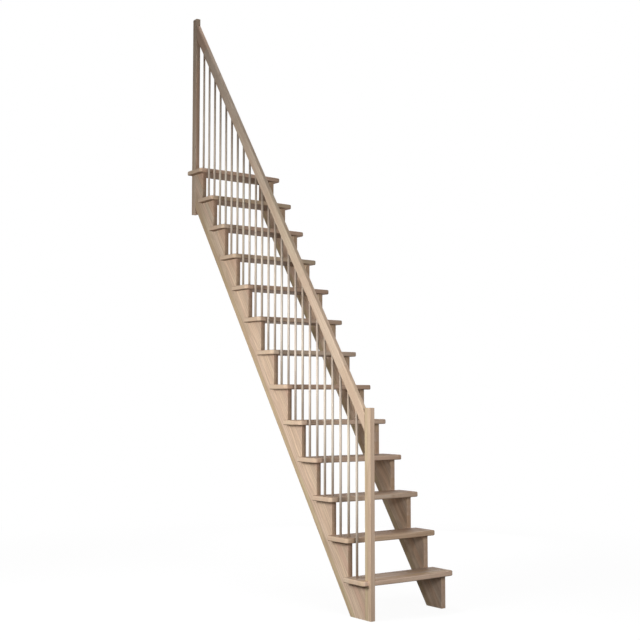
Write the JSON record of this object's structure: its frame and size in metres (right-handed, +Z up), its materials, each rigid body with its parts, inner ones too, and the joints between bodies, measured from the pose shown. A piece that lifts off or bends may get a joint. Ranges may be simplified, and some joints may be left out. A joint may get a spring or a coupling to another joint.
{
  "type": "space-saving staircase",
  "caption": "Straight steep open-riser timber stair on two sawtooth stringers, with a rod balustrade and board handrail along its left side.",
  "frame": {"origin": "centre of the newel post's foot face, on the finished floor", "axes": "+X across the flight to the right as one climbs, +Y along the going towards the upper floor, +Z up"},
  "size_m": [0.682, 2.0475, 3.9795],
  "materials": {
    "stringer": "sanded glued beech strips, unfinished",
    "tread": "sanded glued beech board, unfinished",
    "post": "sanded beech, unfinished",
    "handrail": "sanded beech, unfinished",
    "baluster": "turned beech, unfinished"
  },
  "bodies": {
    "root": {"stringer_left": "stringer", "stringer_right": "stringer", "newel_post": "post", "top_post": "post", "handrail": "handrail", "tread_01": "tread", "tread_02": "tread", "tread_03": "tread", "tread_04": "tread", "tread_05": "tread", "tread_06": "tread", "tread_07": "tread", "tread_08": "tread", "tread_09": "tread", "tread_10": "tread", "tread_11": "tread", "tread_12": "tread", "tread_13": "tread", "baluster_01": "baluster", "baluster_02": "baluster", "baluster_03": "baluster", "baluster_04": "baluster", "baluster_05": "baluster", "baluster_06": "baluster", "baluster_07": "baluster", "baluster_08": "baluster", "baluster_09": "baluster", "baluster_10": "baluster", "baluster_11": "baluster", "baluster_12": "baluster", "baluster_13": "baluster", "baluster_14": "baluster", "baluster_15": "baluster", "baluster_16": "baluster", "baluster_17": "baluster", "baluster_18": "baluster", "baluster_19": "baluster", "baluster_20": "baluster", "baluster_21": "baluster", "baluster_22": "baluster", "baluster_23": "baluster", "baluster_24": "baluster"}
  },
  "joints": []
}
